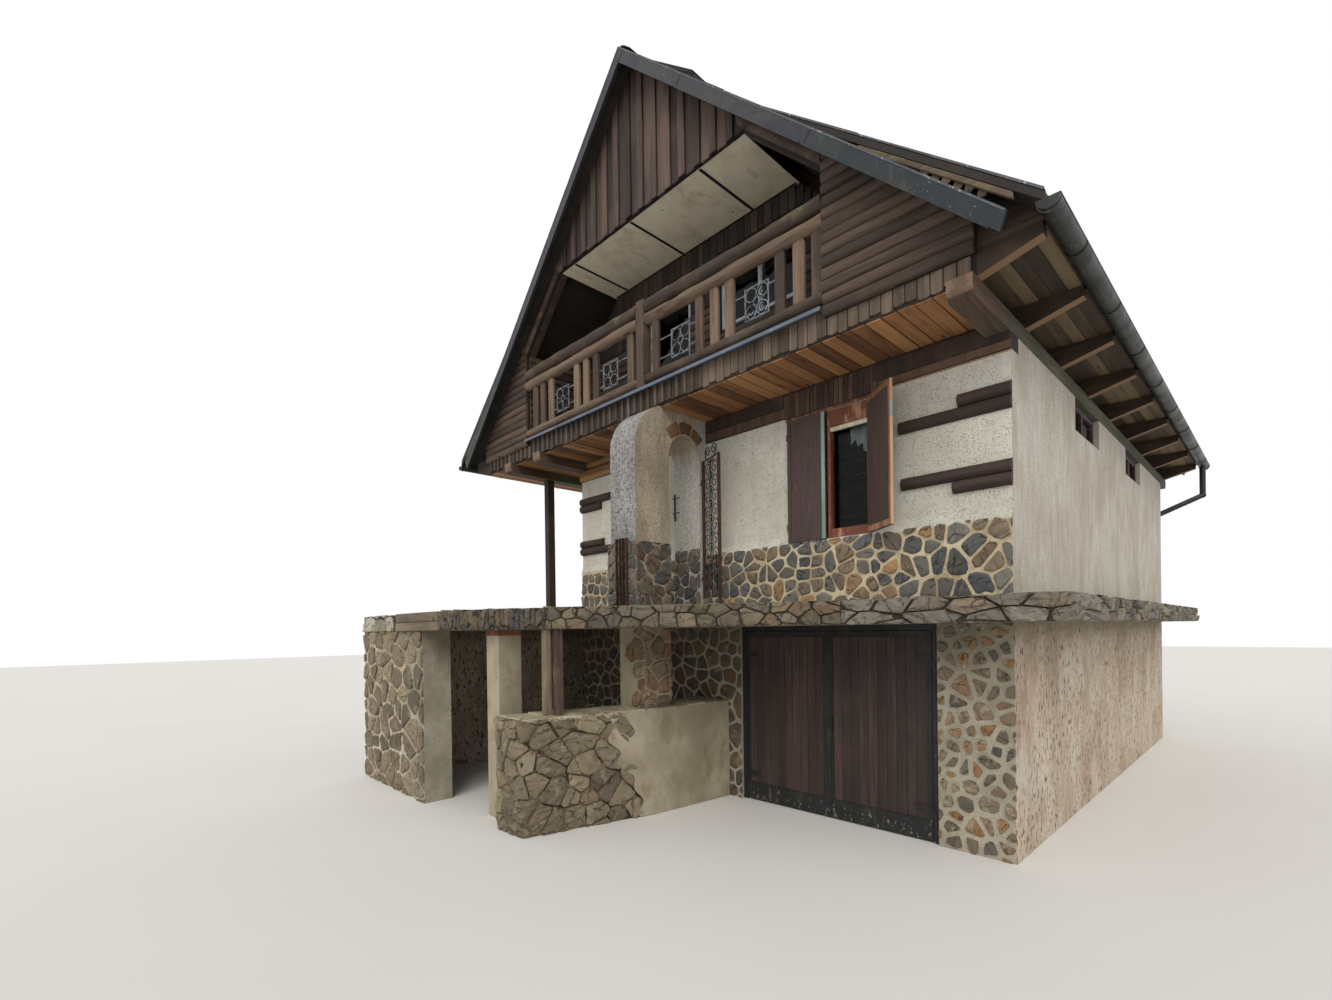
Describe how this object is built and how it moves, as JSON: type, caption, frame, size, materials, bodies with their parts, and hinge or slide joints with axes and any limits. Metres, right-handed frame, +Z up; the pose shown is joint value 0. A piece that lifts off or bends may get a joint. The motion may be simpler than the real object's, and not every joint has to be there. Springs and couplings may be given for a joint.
{
  "type": "alpine chalet",
  "caption": "Alpine chalet with a stone garage storey, roughcast walls, an arched porch wall, a half-log gable with a balcony loggia, and a steep roof with flatter eaves",
  "frame": {"origin": "on the ground under the middle of the masonry storey", "axes": "+X to the right along the gable front as seen from outside, +Y from the gable front to the back, +Z up"},
  "size_m": [9.14, 12.19, 9.327],
  "materials": {
    "concrete": "grey rough concrete",
    "rubble": "dark blue-grey polygonal stones in cream mortar",
    "roughcast": "off-white roughcast with grey stipple and brown streaks",
    "dark_steel": "dark brown steel tube, worn",
    "garage_boards": "dark brown sheet with worn patches",
    "terrace_stone": "grey-pink rough stone slabs",
    "weathered_timber": "grey-brown weathered timber with green patches",
    "dark_logs": "dark brown stained half logs, sun-bleached in places",
    "brown_frames": "reddish brown painted wood",
    "panes": "clear window glass",
    "shutter_boards": "dark brown boards with a pale edge",
    "wrought_iron": "black wrought iron with grey wear",
    "orange_boards": "orange-brown boards with dark gaps",
    "fascia_wood": "grey-brown weathered boards with rounded feet",
    "ceiling_panels": "beige panels with black joint strips",
    "flashing_metal": "dull blue sheet metal",
    "rail_logs": "brown debarked logs with green lichen",
    "roof_sheet": "old dark corrugated sheet with moss",
    "verge_metal": "blue-black metal with whitish peeling",
    "gutter_metal": "dark green-grey painted metal",
    "chimney_metal": "dark sooty sheet metal"
  },
  "bodies": {
    "house": {"garage_floor": "concrete", "basement_wall_right": "rubble", "basement_wall_left": "rubble", "basement_walls": "roughcast", "garage_frame": "dark_steel", "terrace_slab": "terrace_stone", "retaining_wall": "rubble", "terrace_piers": "rubble", "terrace_foundation": "rubble", "timber_posts": "weathered_timber", "main_floor": "concrete", "front_wall": "roughcast", "side_walls": "roughcast", "back_wall": "roughcast", "log_strips": "dark_logs", "window_frames": "brown_frames", "window_glass": "panes", "entrance_door": "shutter_boards", "arch_wall": "roughcast", "wall_beams": "dark_logs", "wall_plates": "weathered_timber", "floor_joists": "weathered_timber", "upper_floor": "orange_boards", "soffit": "orange_boards", "fascia_boards": "fascia_wood", "gable_panels": "dark_logs", "gable_top": "dark_logs", "loggia_walls": "dark_logs", "loggia_ceiling": "ceiling_panels", "balcony_flashing": "flashing_metal", "balcony_rails": "rail_logs", "balusters": "rail_logs", "ironwork": "wrought_iron", "back_gable": "dark_logs", "rafters": "weathered_timber", "roof_right": "roof_sheet", "roof_left": "roof_sheet", "bargeboards": "verge_metal", "rainwater_pipes": "gutter_metal", "chimney": "chimney_metal", "lower_covering": "roof_sheet"},
    "garage_leaf_left": {"garage_door_left": "garage_boards"},
    "garage_leaf_right": {"garage_door_right": "garage_boards"},
    "shutter_leaf_left": {"shutter_left": "shutter_boards"},
    "shutter_leaf_right": {"shutter_right": "shutter_boards"},
    "gate_leaf": {"porch_gate": "wrought_iron"}
  },
  "joints": [
    {"name": "garage_left_hinge", "type": "hinge", "parent": "house", "child": "garage_leaf_left", "pos_m": [0.166, -4.195, 1], "axis": [0, 0, -1], "range_deg": [0, 95]},
    {"name": "garage_right_hinge", "type": "hinge", "parent": "house", "child": "garage_leaf_right", "pos_m": [2.434, -4.195, 1], "axis": [0, 0, 1], "range_deg": [0, 95]},
    {"name": "shutter_left_hinge", "type": "hinge", "parent": "house", "child": "shutter_leaf_left", "pos_m": [0.835, -4.237, 3.8], "axis": [0, 0, -1], "range_deg": [0, 165]},
    {"name": "shutter_right_hinge", "type": "hinge", "parent": "house", "child": "shutter_leaf_right", "pos_m": [1.84, -4.237, 3.8], "axis": [0, 0, 1], "range_deg": [-142, 18]},
    {"name": "porch_gate_hinge", "type": "hinge", "parent": "house", "child": "gate_leaf", "pos_m": [-0.4, -4.345, 3.3], "axis": [0, 0, 1], "range_deg": [-68, 17]}
  ]
}
